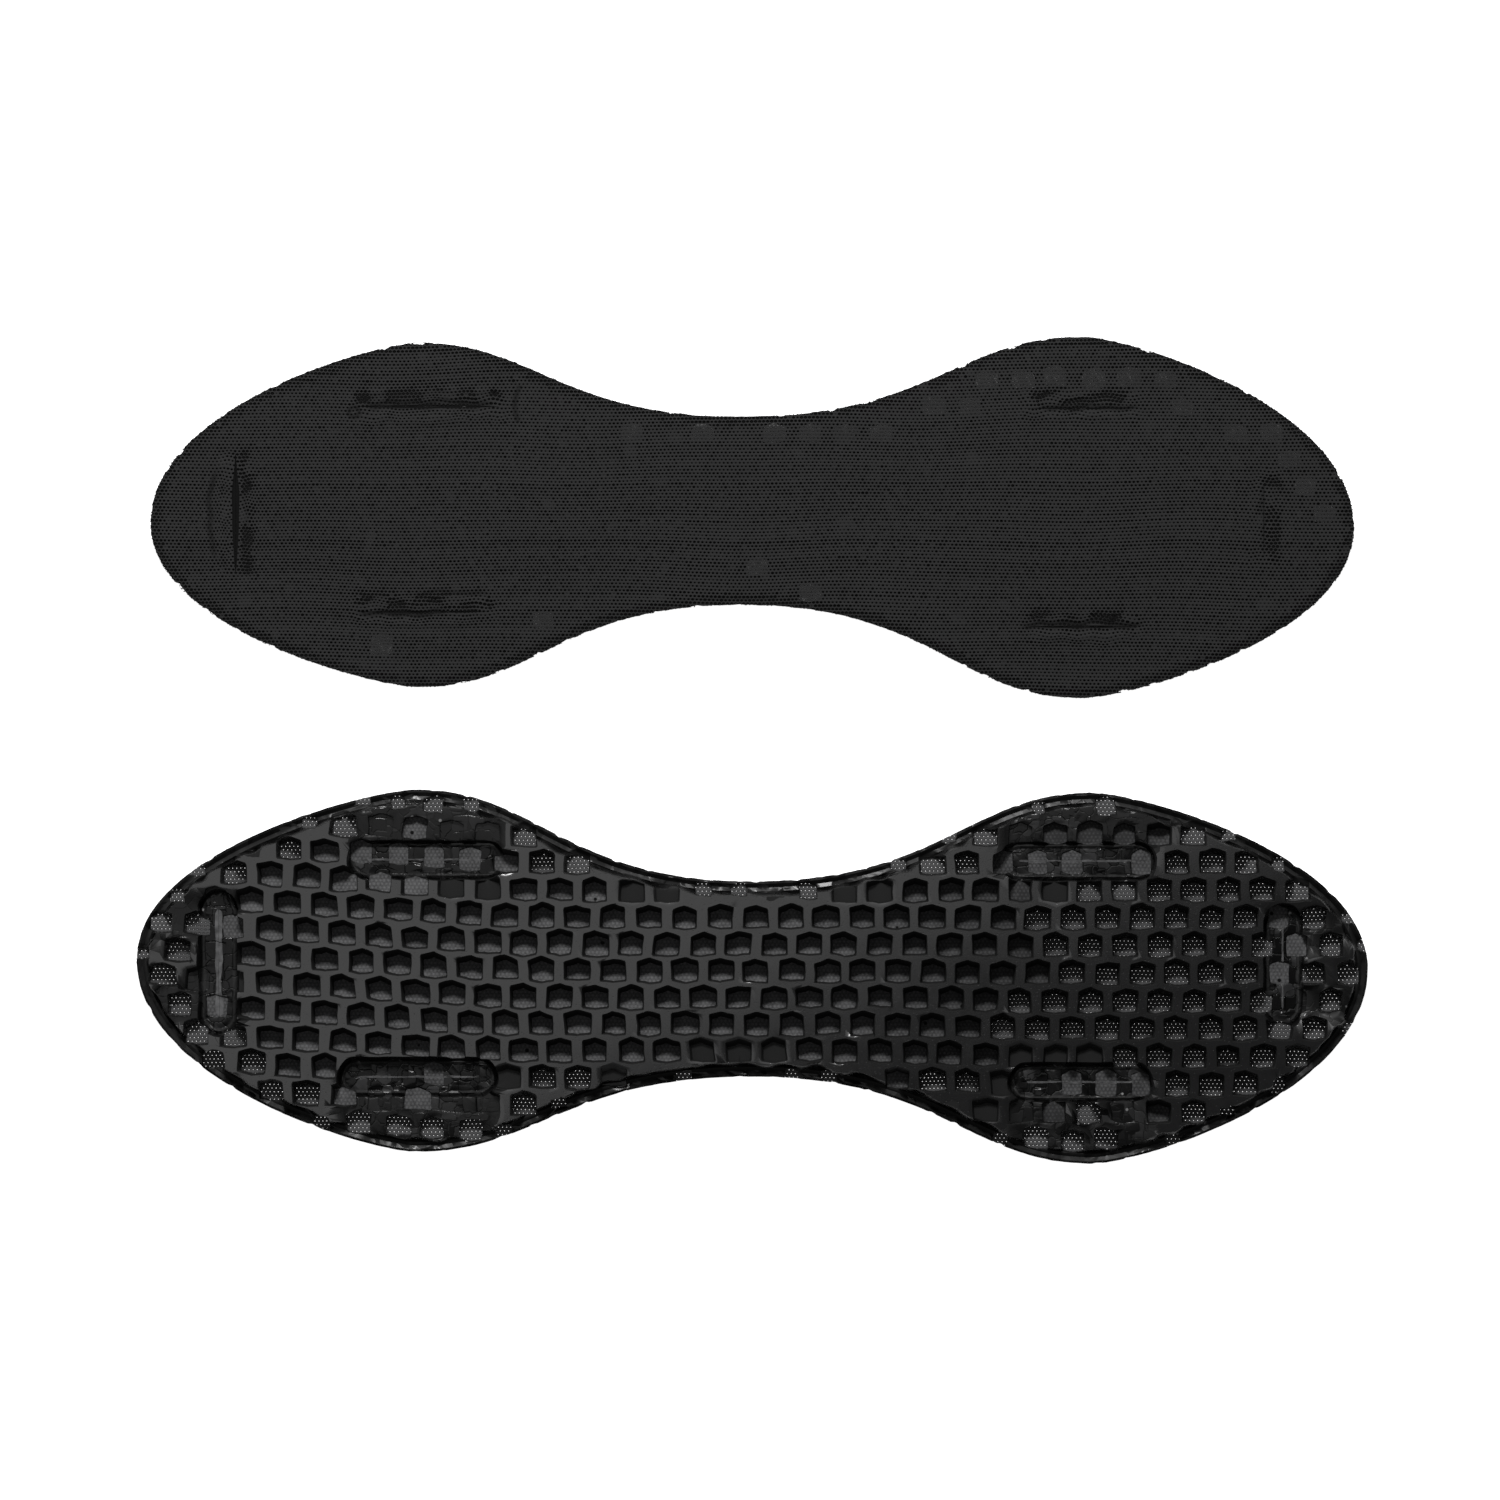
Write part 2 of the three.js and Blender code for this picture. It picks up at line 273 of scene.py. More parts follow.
class Slit:
    """A cut through a pad: its middle, its direction and half its length."""

    def __init__(self, loop, pad):
        apart = np.linalg.norm(loop[:, None] - loop[None], axis=2)
        i, j = np.unravel_index(apart.argmax(), apart.shape)
        a, b = sorted((loop[i], loop[j]), key=lambda p: p[0] + p[1])
        self.middle, self.half = (a + b) / 2, apart.max() / 2
        self.along = (b - a) / apart.max()
        self.across = abs(self.along[1]) > 0.5  # it runs across the pad, near a tip
        side = "left" if self.middle[0] < 0 else "right"
        place = "tip" if self.across else "top" if self.middle[1] > 0 else "bottom"
        self.name = f"{side}_{place}"
        self.cover_gap = COVER_GAP[pad].get(self.name, CLOSED_GAP)
        self.gel_gap = GEL_GAP[pad]

    def place(self, x, y):
        """Distances along the slit and across it, from its middle."""
        dx, dy = x - self.middle[0], y - self.middle[1]
        return dx * self.along[0] + dy * self.along[1], dy * self.along[0] - dx * self.along[1]

    def field(self, x, y):
        """Distance outside the round-ended field of pressed gel about the slit."""
        s, t = self.place(x, y)
        straight = self.half + FIELD_END - FIELD_SIDE
        return np.hypot(np.maximum(np.abs(s) - straight, 0), t) - FIELD_SIDE

    def opened(self, points, gap, lean=0.0, reach=3.5):
        """The points moved apart so that the slit stands open by gap at its middle.

        A leaning cut moves sideways by lean for each PRESSED of depth."""
        s, t = self.place(points[:, 0], points[:, 1])
        half = (gap - CUT) / 2 * np.clip(1 - (s / self.half) ** 2, 0, 1)
        half = half * (1 + 0.25 * ripples(s, 0 * s, 9, round(abs(self.middle[0]))))
        near = np.exp(-((t / reach) ** 2)) * (1 - smooth(self.half, self.half + 3, np.abs(s)))
        move = np.sign(t) * half * np.exp(-((t / reach) ** 2)) + near * lean * points[:, 2] / PRESSED
        moved = points.copy()
        moved[:, 0] -= move * self.along[1]
        moved[:, 1] += move * self.along[0]
        return moved


class Pad:
    """One pad's outline and slits, read from its CAD cover."""

    def __init__(self, name):
        low, high = (np.array(corner)[:2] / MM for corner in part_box(f"{name}_knit_cover"))
        self.name, self.middle, self.reach = name, (low + high) / 2, (high - low) / 2
        loops = [loop - self.middle for loop in top_loops(f"{name}_knit_cover")]
        self.outline = resampled(loops[0], OUTLINE_STEP)
        self.slits = [Slit(loop, name) for loop in loops[1:]]
        self.low = -self.reach - 12
        count = np.ceil(2 * -self.low / GRID_STEP).astype(int) + 1
        xs, ys = (self.low[k] + GRID_STEP * np.arange(count[k]) for k in (0, 1))
        self.grid = np.stack([self.column(x, ys) for x in xs])
        draw = np.random.default_rng(SEED + 20)
        steps = np.cumsum(draw.uniform(*NICK_STEP, len(self.outline)) / OUTLINE_STEP).astype(int)
        self.nicks = self.outline[steps[steps < len(self.outline)]]

    def column(self, x, ys):
        """Signed distances to the outline, positive inside, down one column of the grid."""
        a, b = self.outline, np.roll(self.outline, -1, 0)
        p, d = np.stack([np.full_like(ys, x), ys], 1)[:, None], b - a
        t = np.clip(((p - a) * d).sum(2) / (d * d).sum(1), 0, 1)
        far = np.linalg.norm(p - a - t[..., None] * d, axis=2).min(axis=1)
        crossing = (a[:, 0] > x) != (b[:, 0] > x)
        a, b = a[crossing], b[crossing]
        at = a[:, 1] + (x - a[:, 0]) / (b[:, 0] - a[:, 0]) * (b[:, 1] - a[:, 1])
        inside = (at[None] > ys[:, None]).sum(axis=1) % 2 == 1
        return np.where(inside, far, -far)

    def edge(self, x, y):
        """Distance in from the outline, negative outside it."""
        fx, fy = (x - self.low[0]) / GRID_STEP, (y - self.low[1]) / GRID_STEP
        i = np.clip(fx.astype(int), 0, self.grid.shape[0] - 2)
        j = np.clip(fy.astype(int), 0, self.grid.shape[1] - 2)
        u, v, g = fx - i, fy - j, self.grid
        low = g[i, j] * (1 - u) + g[i + 1, j] * u
        high = g[i, j + 1] * (1 - u) + g[i + 1, j + 1] * u
        return low * (1 - v) + high * v

    def nicked(self, x, y, depth, wide):
        """How far the cut edge of a layer lies in from the outline: frayed, with small nicks."""
        inset = 0.04 * (1 + ripples(x, y, 2.2, SEED + 21))
        close = np.abs(self.edge(x, y)) < depth + wide + 1
        near = np.stack([x[close], y[close]], 1)
        far = np.linalg.norm(near[:, None] - self.nicks, axis=2).min(axis=1)
        inset[close] += depth * (1 - smooth(0, wide, far))
        return inset

    def field(self, x, y):
        """Distance outside the nearest field of pressed gel."""
        return np.min([slit.field(x, y) for slit in self.slits], axis=0)

    def strip(self, x, y):
        """Distance outside the nearest pale strip along a slit."""
        apart = np.full(np.shape(x), 9.0)
        for slit in self.slits:
            half = PALE_STRIP[self.name].get(slit.name)
            if half:
                s, t = slit.place(x, y)
                wide = half * (1 + 0.25 * ripples(s, 0 * s, 11, SEED + 22))
                straight = slit.half * 0.9 - half
                apart = np.minimum(apart, np.hypot(np.maximum(np.abs(s) - straight, 0), t) - wide)
        return apart

    def pressed(self, x, y):
        """How far the gel is pressed: 0 at full height, 1 where it is flat."""
        edge = self.edge(x, y)
        rim = 1 - smooth(*RIM_CLIFF, self.ragged_edge(x, y))
        share = np.maximum(rim, 1 - smooth(*FIELD_CLIFF, self.ragged_field(x, y)))
        for slit in self.slits:
            beside = 1 - smooth(slit.half - 1, slit.half + 4, np.abs(slit.place(x, y)[0]))
            reach = edge + np.maximum(slit.field(x, y), 0) + 0.8 * ripples(x, y, 5, SEED)
            near_edge = 1 - smooth(STRIP_REACH, STRIP_REACH + 1.5, reach)
            share = np.maximum(share, (0.4 if slit.across else 0.6) * beside * near_edge)
        return share

    def ragged_edge(self, x, y):
        return self.edge(x, y) + 0.4 * ripples(x, y, 5, SEED)

    def ragged_field(self, x, y):
        return self.field(x, y) + 0.12 * ripples(x, y, 5, SEED)

    def pressed_height(self, x, y):
        """Height of pressed gel: moulded ribs along the outline and round each field."""
        edge, field = self.edge(x, y), self.field(x, y)
        rim = np.interp(edge, *zip(*RIM_PROFILE))
        lip = np.interp(field, *zip(*FIELD_PROFILE))
        by_field = smooth(1.0, 0.0, field)
        height = rim * (1 - by_field) + lip * by_field
        between = smooth(RIM_WIDTH, RIM_WIDTH + 0.8, edge) * (1 - by_field)
        return height * (1 - between) + PRESSED * between

    def creased(self, mesh, value, lines):
        """A mesh with edges added along the lines where value(x, y) takes each of these numbers."""
        for line in lines:
            points, triangles, tags = mesh
            keep = value(points[:, 0], points[:, 1]) - line
            count = len(points)
            points, faces, labels = clip(points, triangles, tags, keep)
            keep = np.append(keep, np.full(len(points) - count, 1.0))
            points, more, more_labels = clip(points, triangles, tags, -keep)
            mesh = merged(points, np.concatenate([faces, more]), np.concatenate([labels, more_labels]))
        return mesh

    def trimmed(self, points, triangles, tags, nick, inset=0.0, ribbed=False):
        """A mesh cut to the outline and along the slits, with edges along its pressed ribs."""
        x, y = points[:, 0], points[:, 1]
        keep = self.edge(x, y) - inset - self.nicked(x, y, *nick)
        points, triangles, tags = clip(points, triangles, tags, keep)
        if ribbed:
            shares = np.array(CLIFF_SHARES)
            mesh = self.creased((points, triangles, tags), self.edge, RIM_LINES)
            mesh = self.creased(mesh, self.field, FIELD_LINES)
            mesh = self.creased(mesh, self.ragged_edge, RIM_CLIFF[0] + shares * np.ptp(RIM_CLIFF))
            points, triangles, tags = self.creased(
                mesh, self.ragged_field, FIELD_CLIFF[0] + shares * np.ptp(FIELD_CLIFF)
            )
        for slit in self.slits:
            s, t = slit.place(points[:, 0], points[:, 1])
            near = (np.abs(t[triangles]) < ZONE).all(axis=1) & (
                np.abs(s[triangles].mean(axis=1)) < slit.half
            )
            far = triangles[~near], tags[~near]
            parts = [far]
            for side in (1, -1):
                keep = np.append(side * t, np.full(len(points) - len(t), -1.0)) - CUT / 2
                points, faces, labels = clip(points, triangles[near], tags[near], keep)
                parts.append((faces, labels))
            triangles = np.concatenate([faces for faces, _ in parts])
            tags = np.concatenate([labels for _, labels in parts])
        if ribbed:
            points, triangles, tags = self.creased((points, triangles, tags), self.strip, (0.0,))
        return points, triangles, tags


# ---------------------------------------------------------------- honeycomb

def hexagon(half_width, half_side, peak, dip, at):
    """Points round a flattened hexagon, anticlockwise, at these shares of each side."""
    corners = np.array([
        (half_width, -half_side), (half_width, half_side), (0, half_side + peak),
        (-half_width, half_side), (-half_width, -half_side), (0, -half_side - dip),
    ])
    at = np.array(at)[:, None]
    return np.concatenate([a + (b - a) * at for a, b in zip(corners, np.roll(corners, -1, 0))])


def lattice_to_pad_b(x, y):
    """Where pad B's honeycomb lies: it drifts down the left lobe and widens in the right one."""
    left, right = smooth(-25, -75, x), smooth(20, 70, x)
    drift = left * 0.6 + np.maximum(-62 - x, 0) * 0.062 - right * 0.6
    stretch = 1 + 0.015 * left + 0.04 * right
    return x - 1.4 * (x / 104) ** 2, PHASE[1] + (y - PHASE[1]) * stretch + drift


def lattice_to_pad_a(x, y):
    """Where pad A's honeycomb lies: straight."""
    return x, y


def honeycomb(pad, to_pad, kind_at, painted_light_at):
    """The upper face of a gel layer and the face under it, as (points, triangles, tags) each.

    A tag is 0 on the wall tops, 1 on pressed gel and walls, 2 on the film in a cell, 3 on a
    film that shows through the cover, painted pale with light from below, 4 on the rest of the bonded side
    and 5 beside a slit.
    A point is (x, y, z, share, bevel)."""
    draw = np.random.default_rng(SEED)
    columns = math.ceil(pad.reach[0] / CELL_PITCH) + 2
    rows = math.ceil(pad.reach[1] / ROW_PITCH) + 3
    i, j = np.meshgrid(np.arange(-columns, columns + 1), np.arange(-rows, rows + 1))
    i, j = i.ravel(), j.ravel()
    middles = np.stack([(i + 0.5 * (j % 2)) * CELL_PITCH + PHASE[0], j * ROW_PITCH + PHASE[1]], 1)
    outer = hexagon(CELL_PITCH / 2, (ROW_PITCH - WEB_RISE) / 2, WEB_RISE, WEB_RISE, OUTER_AT)
    middles = middles[pad.edge(*to_pad(*middles.T)) > -CELL_PITCH * 0.75]
    cells, n = len(middles), len(outer)

    mx, my = to_pad(*middles.T)
    edge, field, press = pad.edge(mx, my), pad.field(mx, my), pad.pressed(mx, my)
    kind = kind_at(mx, my, edge, field, press, draw.uniform(size=cells))
    # Cells whose bonded side is painted pale with light from below.
    pale = painted_light_at(mx, my, edge, draw.uniform(size=cells))

    # The opening: a little different in each cell, and smaller where gel is pressed.
    opening = hexagon(**OPENING, at=OPENING_AT)
    wobble = draw.normal(0, 1, (cells, n, 2))
    wobble = (np.roll(wobble, 1, 1) + wobble + np.roll(wobble, -1, 1)) / 3
    soft = (press * (1 - smooth(0.3, -0.3, field)))[:, None, None]
    size = 1 + draw.normal(0, 0.03, (cells, 1, 2)) - soft * (0.12, 0.16)
    size = size - smooth(0.3, -0.3, field)[:, None, None] * (0.22, 0.02)
    size = size * (1 - 0.35 * smooth(3.4, 2.6, edge))[:, None, None]
    shift = draw.normal(0, 0.1, (cells, 1, 2)) * (1 + 2 * soft)
    openings = opening * size + wobble * (0.14 + 0.22 * soft) + shift

    deep = (1 - smooth(0.2, 0.7, press))[:, None]
    x, y = openings[..., 0], openings[..., 1]
    lean_x = -np.sign(x) * np.minimum(
        (0.06 + np.where(x > 0, FLARE["right"], FLARE["left"]) * deep), np.abs(x) * 0.4)
    lean_y = -np.sign(y) * np.minimum(
        (0.06 + np.where(y > 0, FLARE["top"], FLARE["bottom"]) * deep), np.abs(y) * 0.5)
    foot = np.stack([x + lean_x, y + lean_y], 2)
    wide = openings * (1 + BEVEL / OPENING["half_width"])
    rings = [np.broadcast_to(outer, (cells, n, 2)), wide, openings,
             openings * 0.55 + foot * 0.45, foot, foot * 0.5]
    plan = np.stack(rings, 1) + middles[:, None, None]
    centre = (foot.mean(axis=1) + middles)[:, None]
    flat = np.concatenate([plan.reshape(cells, -1, 2), centre], 1)

    # Into the pad, with walls that are not quite straight.
    px, py = to_pad(flat[..., 0], flat[..., 1])
    px = px + 0.14 * ripples(px, py, 8, SEED + 1)
    py = py + 0.14 * ripples(px, py, 7, SEED + 2)
    floor_share = FLOOR_SHARE[kind][:, None] + 0 * px
    share = np.append(np.repeat([1, 1, 1, 0.5, 0, 0], n), 0)
    share = share + (1 - share) * floor_share
    bevel = np.append(np.repeat([0, 0, BEVEL, 0, 0, 0], n), 0) * (1 - floor_share)
    points = np.stack([px, py, 0 * px, share, bevel], 2).reshape(-1, 5)

    start = np.arange(cells)[:, None, None] * (6 * n + 1)
    m = np.arange(n)[None, :]
    after = (m + 1) % n

    def strip(k, to, which):
        a, b, c, d = k * n + m, k * n + after, to * n + after, to * n + m
        quads = np.stack([a, b, c, a, c, d], 2).reshape(1, -1, 3)
        return (start[which] + quads).reshape(-1, 3)

    def fan(k, which):
        faces = np.stack([k * n + m, k * n + after, np.full_like(m, 6 * n)], 2).reshape(1, -1, 3)
        return (start[which] + faces).reshape(-1, 3)

    def joined(parts):
        return np.concatenate([f for f, _ in parts]), np.concatenate([np.full(len(f), t) for f, t in parts])

    every, closed, filmed = np.ones(cells, bool), kind != OPEN, kind == FILMED
    faces, tags = joined([
        (strip(0, 1, every), 0), (strip(1, 2, every), 1), (strip(2, 3, every), 1),
        (strip(3, 4, every), 1), (strip(4, 5, filmed), 2), (fan(5, filmed), 2),
        (fan(4, closed & ~filmed), 1),
    ])

    # The face under it follows the cuts exactly in cells that are cut, and is plain elsewhere.
    ring_x, ring_y = px[:, :n], py[:, :n]
    cut = (pad.edge(ring_x, ring_y) < 2.5).any(axis=1) | (pad.field(ring_x, ring_y) < 0).any(axis=1)
    under, under_tags = joined(
        [(strip(k, k + 1, cut), 4) for k in range(4)] + [(strip(0, 4, ~cut), 4)]
        + [(strip(4, 5, cut & filmed & ~pale), 4), (fan(5, cut & filmed & ~pale), 4)]
        + [(strip(4, 5, cut & filmed & pale), 3), (fan(5, cut & filmed & pale), 3)]
        + [(fan(4, ((cut & ~filmed) | ~cut) & closed & ~pale), 4)]
        + [(fan(4, ((cut & ~filmed) | ~cut) & closed & pale), 3)]
    )
    return (points, faces, tags), (points, under[:, ::-1], under_tags)


def gel_heights(pad, points, full):
    """The height of each point of a honeycomb's upper face over its base."""
    x, y, _, share, bevel = points.T
    press = pad.pressed(x, y)
    lumps = 0.1 * ripples(x, y, 2.2, SEED + 3) + 0.05 * ripples(x, y, 1.1, SEED + 5)
    lumps = lumps * (0.3 + 0.7 * smooth(2.0, 4.0, pad.edge(x, y)))
    core = full - 0.05 * np.maximum(1 + ripples(x, y, 26, SEED + 4), 0)
    height = core * (1 - press) + (pad.pressed_height(x, y) + lumps) * press
    film = FILM + 0.05 * ripples(x, y, 1.5, SEED + 6) * (share == 0)
    return film + (np.maximum(height, FILM + 0.1) - film) * share - bevel * np.minimum(1, height / 2)


def gel_mesh(pad, to_pad, kind_at, painted_light_at, full, inset):
    """A gel layer as one closed mesh that stands on z = 0, before its slits are opened."""
    top, under = honeycomb(pad, to_pad, kind_at, painted_light_at)
    points, faces, tags = pad.trimmed(*merged(*top), NICK[pad.name], inset, ribbed=True)
    x, y = points[faces, 0].mean(axis=1), points[faces, 1].mean(axis=1)
    tags = np.where((tags == 0) & (pad.pressed(x, y) > FLAT_FROM), 1, tags)
    tags = np.where(pad.strip(x, y) < 0, 5, tags)
    low, low_faces, low_tags = pad.trimmed(*merged(*under), NICK[pad.name], inset)
    points, faces, tags = merged(points, faces, tags)
    points[:, 2] = gel_heights(pad, points, full)
    a, b, c = (points[faces[:, k], :3] for k in range(3))
    normal = np.cross(b - a, c - a)
    level = normal[:, 2] > LEVEL * np.linalg.norm(normal, axis=1)
    tags = np.where((tags == 0) & ~level, 1, tags)
    hung, wall = skirt(points, open_edges(faces), 0.0)
    count = len(points) + len(hung)
    points = np.concatenate([points, hung, low])
    faces = np.concatenate([faces, wall, low_faces + count])
    tags = np.concatenate([tags, np.ones(len(wall), int), low_tags])
    points, faces, tags = merged(points, faces, tags)
    used, faces = np.unique(faces, return_inverse=True)
    return points[used], faces.reshape(-1, 3), tags


# ---------------------------------------------------------------- knit

def net_mesh(pad, knit, hole_size, warp):
    """A knitted net: six points round each hole, joined to its neighbours' points.

    Its points carry the hole row coordinates that the yarn pattern follows."""
    columns = math.ceil(pad.reach[0] / knit["pitch"]) + 3
    rows = math.ceil(pad.reach[1] / knit["rows"]) + 4
    wide, tall = 2 * columns + 1, 2 * rows + 1
    i, j = np.meshgrid(np.arange(wide), np.arange(tall), indexing="ij")
    u = (i - columns + 0.5 * (j % 2)).astype(float)
    v = (j - rows).astype(float)
    x, y = u * knit["pitch"], v * knit["rows"]
    x, y = warp(x, y)
    size = hole_size(x, y)[..., None]
    turn = np.radians(30 + 60 * np.arange(6))
    dx = HOLE["half_width"] / math.cos(math.radians(30)) * np.cos(turn) * size
    dy = HOLE["half_height"] * np.sin(turn) * size
    points = np.stack(
        [x[..., None] + dx, y[..., None] + dy, np.zeros_like(dx),
         u[..., None] + dx / knit["pitch"], v[..., None] + dy / knit["rows"]], 3
    )
    own = (i * tall + j)[1:-1, 1:-1, None] * 6
    right = own + 6 * tall
    odd = (j % 2)[1:-1, 1:-1, None]
    up_right = own + 6 + odd * 6 * tall
    up_left = up_right - 6 * tall

    def faces(*corners):
        return np.concatenate(corners, axis=2).reshape(-1, 3)

    triangles = np.concatenate([
        faces(own + 5, right + 3, right + 2), faces(own + 5, right + 2, own),
        faces(own, up_right + 4, up_right + 3), faces(own, up_right + 3, own + 1),
        faces(own + 1, up_left + 5, up_left + 4), faces(own + 1, up_left + 4, own + 2),
        faces(own + 1, up_right + 3, up_left + 5), faces(own, right + 2, up_right + 4),
    ])
    points = points.reshape(-1, 5)
    inside = pad.edge(points[:, 0], points[:, 1]) > 0
    triangles = triangles[inside[triangles].any(axis=1)]
    points, triangles, _ = pad.trimmed(points, triangles, np.zeros(len(triangles), int), NICK[pad.name])
    return points, triangles


def cover_mesh(pad, knit, hole_size, warp, height, relief):
    """A cover: its net, with the thickness of the knit showing along the cut outline."""
    points, triangles = net_mesh(pad, knit, hole_size, warp)
    used, triangles = np.unique(triangles, return_inverse=True)
    points, triangles = points[used], triangles.reshape(-1, 3)
    edge = pad.edge(points[:, 0], points[:, 1])
    edges = open_edges(triangles)
    inset = pad.nicked(points[:, 0], points[:, 1], *NICK[pad.name])
    edges = edges[(np.abs(edge[edges] - inset[edges]) < 0.05).all(axis=1)]
    points[:, 2] = height + relief(points[:, 0], points[:, 1], edge)
    hung, wall = skirt(points, edges, points[:, 2] - NET_EDGE)
    points, triangles = np.concatenate([points, hung]), np.concatenate([triangles, wall])
    for slit in pad.slits:
        points = slit.opened(points, slit.cover_gap)
    return points, triangles


def near_slits(pad, x, y, start, width):
    """1 in a band beside each slit, that far from it and that wide, fading out round it."""
    total = 0.0
    for slit in pad.slits:
        s, t = slit.place(x, y)
        ends = 1 - smooth(slit.half - 1, slit.half + 3, np.abs(s))
        total = total + ends * np.exp(-(((np.abs(t) - start) / width) ** 2))
    return np.clip(total, 0, 1)


# ---------------------------------------------------------------- pieces

def piece(name, pad, points, triangles, tags, materials, rows=None, attributes=None):
    """A mesh object in the row frame, from points in the pad's coordinates."""
    mesh = bpy.data.meshes.new(name)
    place = np.array([pad.middle[0], pad.middle[1], 0])
    co = ((points[:, :3] + place) * MM).astype(np.float32)
    mesh.vertices.add(len(co))
    mesh.vertices.foreach_set("co", co.ravel())
    mesh.loops.add(triangles.size)
    mesh.loops.foreach_set("vertex_index", triangles.ravel().astype(np.int32))
    mesh.polygons.add(len(triangles))
    mesh.polygons.foreach_set("loop_start", np.arange(0, triangles.size, 3, dtype=np.int32))
    for material in materials:
        mesh.materials.append(material)
    mesh.polygons.foreach_set("material_index", np.asarray(tags, np.int32))
    mesh.update(calc_edges=True)
    mesh.validate()
    flat = mesh.uv_layers.new(name="OFBake")
    spread = points[triangles.ravel(), :2] / (2 * pad.reach.max() * 1.02) + 0.5
    flat.uv.foreach_set("vector", spread.astype(np.float32).ravel())
    if rows is not None:
        uv = mesh.uv_layers.new(name="KnitRows")
        uv.uv.foreach_set("vector", rows[triangles.ravel()].astype(np.float32).ravel())
    for key, values in (attributes or {}).items():
        layer = mesh.attributes.new(key, "FLOAT", "POINT")
        layer.data.foreach_set("value", values.astype(np.float32))
    obj = bpy.data.objects.new(name, mesh)
    bpy.context.scene.collection.objects.link(obj)
    return obj


# ---------------------------------------------------------------- materials

def grey(value):
    return value, value, value, 1


class Material:
    """A Principled material and the nodes that drive it."""

    def __init__(self, name, **constants):
        self.material = bpy.data.materials.new(name)
        self.material.use_nodes = True
        self.tree = self.material.node_tree
        self.shader = self.tree.nodes["Principled BSDF"]
        for socket, value in constants.items():
            self.shader.inputs[socket.replace("_", " ")].default_value = value

    def node(self, kind, inputs=None, **settings):
        made = self.tree.nodes.new("ShaderNode" + kind)
        for key, value in settings.items():
            setattr(made, key, value)
        for key, value in (inputs or {}).items():
            if isinstance(value, bpy.types.NodeSocket):
                self.tree.links.new(value, made.inputs[key])
            else:
                made.inputs[key].default_value = value
        return made

    def math(self, operation, a, b=0.0, c=0.0):
        return self.node("Math", {0: a, 1: b, 2: c}, operation=operation).outputs[0]

    def place(self):
        return self.node("TexCoord").outputs["Object"]

    def noise(self, size_mm, detail=2.0, vector=None, distortion=0.0):
        inputs = {"Vector": vector or self.place(), "Scale": 1 / (size_mm * MM), "Detail": detail,
                  "Distortion": distortion}
        return self.node("TexNoise", inputs).outputs["Fac"]

    def dots(self, size_mm, vector=None, randomness=1.0):
        inputs = {"Vector": vector or self.place(), "Scale": 1 / (size_mm * MM), "Randomness": randomness}
        return self.node("TexVoronoi", inputs).outputs["Distance"]

    def ramp(self, value, *stops):
        """A colour ramp through (position, grey) stops."""
        made = self.node("ValToRGB", {"Fac": value})
        elements = made.color_ramp.elements
        while len(elements) < len(stops):
            elements.new(0.5)
        for element, (position, grey) in zip(elements, stops):
            element.position, element.color = position, (grey, grey, grey * 1.02, 1)
        return made.outputs["Color"]

    def mix(self, share, a, b):
        made = self.node("Mix", {0: share, 6: a, 7: b}, data_type="RGBA")
        return made.outputs[2]

    def link(self, socket, value):
        self.tree.links.new(value, self.shader.inputs[socket])

    def bump(self, height, strength, distance_mm, under=None):
        inputs = {"Height": height, "Strength": strength, "Distance": distance_mm * MM}
        if under is not None:
            inputs["Normal"] = under
        return self.node("Bump", inputs).outputs["Normal"]


def knit_material(name, dark, light):
    """Yarn with loops between its holes, and painted shade round each hole and in the creases."""
    m = Material(name, Roughness=0.85, Sheen_Weight=0.05, Sheen_Roughness=0.5, Specular_IOR_Level=0.2)
    parts = m.node("SeparateXYZ", {0: m.node("UVMap", uv_map="KnitRows").outputs["UV"]}).outputs
    dots = hole_dots(m, m.math("MULTIPLY", parts["X"], 2 * math.pi), m.math("MULTIPLY", parts["Y"], math.pi))
    rib = m.math("MULTIPLY_ADD", m.math("COSINE", m.math("MULTIPLY", parts["Y"], 2 * math.pi)), -0.5, 0.5)
    yarn = m.math("MULTIPLY_ADD", rib, 0.3, m.math("MULTIPLY_ADD", dots, -0.7, 0.7))
    fibre = m.noise(0.14, 3.0)
    # Painted shade round each hole: the tone follows the yarn pattern and is darkest at the holes.
    tone = m.math("ADD", m.math("MULTIPLY", yarn, 0.75), m.math("MULTIPLY", m.noise(7, 2.0), 0.2))
    tone = m.math("ADD", tone, m.math("MULTIPLY", m.math("ADD", fibre, m.noise(0.9, 2.0)), 0.16))
    # Painted shade in the creases: the shade attribute darkens the yarn where the cover dips.
    shade = m.node("Attribute", attribute_name="shade").outputs["Fac"]
    tone = m.math("MULTIPLY", tone, m.math("SUBTRACT", 1.0, shade))
    m.link("Base Color", m.ramp(tone, (0.25, dark), (0.95, light)))
    normal = m.bump(yarn, 0.6, 0.12)
    m.link("Normal", m.bump(fibre, 0.5, 0.04, normal))
    return m.material


def hole_dots(m, a, b):
    """1 at each hole of a staggered net and 0 between, from its angles along and across a row."""
    both = m.math("MULTIPLY", m.math("COSINE", a), m.math("COSINE", b))
    peak = m.math("MULTIPLY_ADD", both, 2.0, m.math("COSINE", m.math("MULTIPLY", b, 2.0)))
    return m.math("MULTIPLY_ADD", peak, 0.22, 0.34)


def satin_gel():
    """The tops of the walls: smooth satin gel with tiny pits."""
    m = Material("gel_wall_tops", Roughness=0.24, Specular_IOR_Level=0.5)
    pits = m.ramp(m.dots(0.9), (0.1, 0.0), (0.17, 1.0))
    m.link("Base Color", m.mix(m.noise(0.5, 3.0), (0.004, 0.004, 0.0042, 1), (0.008, 0.008, 0.0083, 1)))
    normal = m.bump(pits, 0.35, 0.06)
    m.link("Normal", m.bump(m.noise(0.35, 3.0), 0.18, 0.03, normal))
    m.link("Roughness", m.math("MULTIPLY_ADD", m.noise(3.0, 3.0), 0.08, 0.19))
    return m.material


